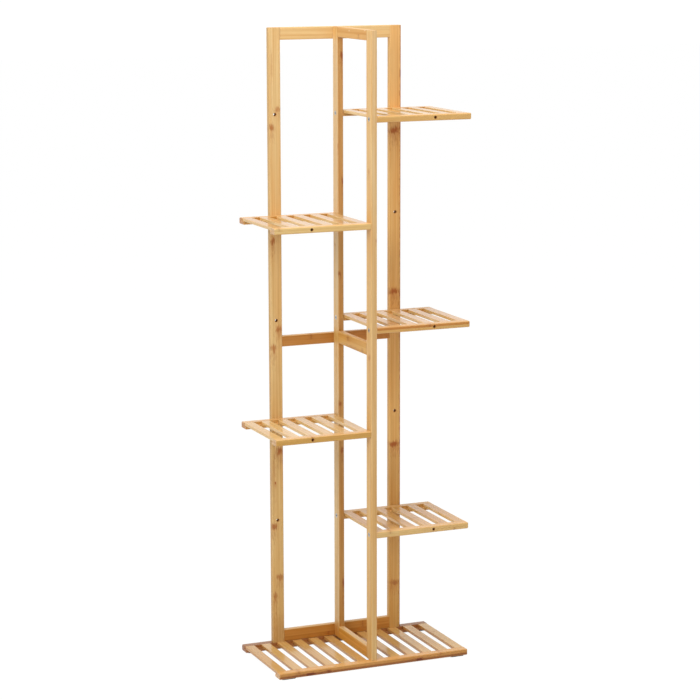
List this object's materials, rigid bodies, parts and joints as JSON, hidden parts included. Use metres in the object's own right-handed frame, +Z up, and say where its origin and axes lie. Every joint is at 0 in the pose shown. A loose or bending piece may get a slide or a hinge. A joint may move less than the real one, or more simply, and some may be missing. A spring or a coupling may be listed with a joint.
{
  "type": "tiered plant stand",
  "caption": "Tall narrow bamboo plant stand with slatted shelves stepping left and right of a central ladder frame, over a slatted base.",
  "frame": {"origin": "on the floor, in the middle of the base", "axes": "+X to the right seen from the front, +Y to the back frame, +Z up"},
  "size_m": [0.406, 0.208, 1.2415],
  "materials": {
    "bamboo_frame": "satin lacquer",
    "bamboo_rails": "satin lacquer",
    "bamboo_slats": "satin lacquer",
    "steel": "zinc plated",
    "rubber": "matt"
  },
  "bodies": {
    "root": {"back_bottom_rail": "bamboo_frame", "back_middle_rail": "bamboo_frame", "back_top_rail": "bamboo_frame", "base_front_rail": "bamboo_rails", "base_rear_rail": "bamboo_rails", "base_slats": "bamboo_slats", "divider_back_post": "bamboo_frame", "divider_bolts": "steel", "divider_bottom_rail": "bamboo_frame", "divider_front_post": "bamboo_frame", "divider_middle_rail": "bamboo_frame", "divider_top_rail": "bamboo_frame", "foot_pads": "rubber", "left_post": "bamboo_frame", "loose_tenons": "bamboo_frame", "post_bolts": "steel", "right_post": "bamboo_frame", "shelf_1_front_rail": "bamboo_rails", "shelf_1_rear_rail": "bamboo_rails", "shelf_1_slat_1": "bamboo_slats", "shelf_1_slat_2": "bamboo_slats", "shelf_1_slat_3": "bamboo_slats", "shelf_1_slat_4": "bamboo_slats", "shelf_1_slat_5": "bamboo_slats", "shelf_1_slat_6": "bamboo_slats", "shelf_2_front_rail": "bamboo_rails", "shelf_2_rear_rail": "bamboo_rails", "shelf_2_slat_1": "bamboo_slats", "shelf_2_slat_2": "bamboo_slats", "shelf_2_slat_3": "bamboo_slats", "shelf_2_slat_4": "bamboo_slats", "shelf_2_slat_5": "bamboo_slats", "shelf_2_slat_6": "bamboo_slats", "shelf_3_front_rail": "bamboo_rails", "shelf_3_rear_rail": "bamboo_rails", "shelf_3_slat_1": "bamboo_slats", "shelf_3_slat_2": "bamboo_slats", "shelf_3_slat_3": "bamboo_slats", "shelf_3_slat_4": "bamboo_slats", "shelf_3_slat_5": "bamboo_slats", "shelf_3_slat_6": "bamboo_slats", "shelf_4_front_rail": "bamboo_rails", "shelf_4_rear_rail": "bamboo_rails", "shelf_4_slat_1": "bamboo_slats", "shelf_4_slat_2": "bamboo_slats", "shelf_4_slat_3": "bamboo_slats", "shelf_4_slat_4": "bamboo_slats", "shelf_4_slat_5": "bamboo_slats", "shelf_4_slat_6": "bamboo_slats", "shelf_5_front_rail": "bamboo_rails", "shelf_5_rear_rail": "bamboo_rails", "shelf_5_slat_1": "bamboo_slats", "shelf_5_slat_2": "bamboo_slats", "shelf_5_slat_3": "bamboo_slats", "shelf_5_slat_4": "bamboo_slats", "shelf_5_slat_5": "bamboo_slats", "shelf_5_slat_6": "bamboo_slats"}
  },
  "joints": []
}
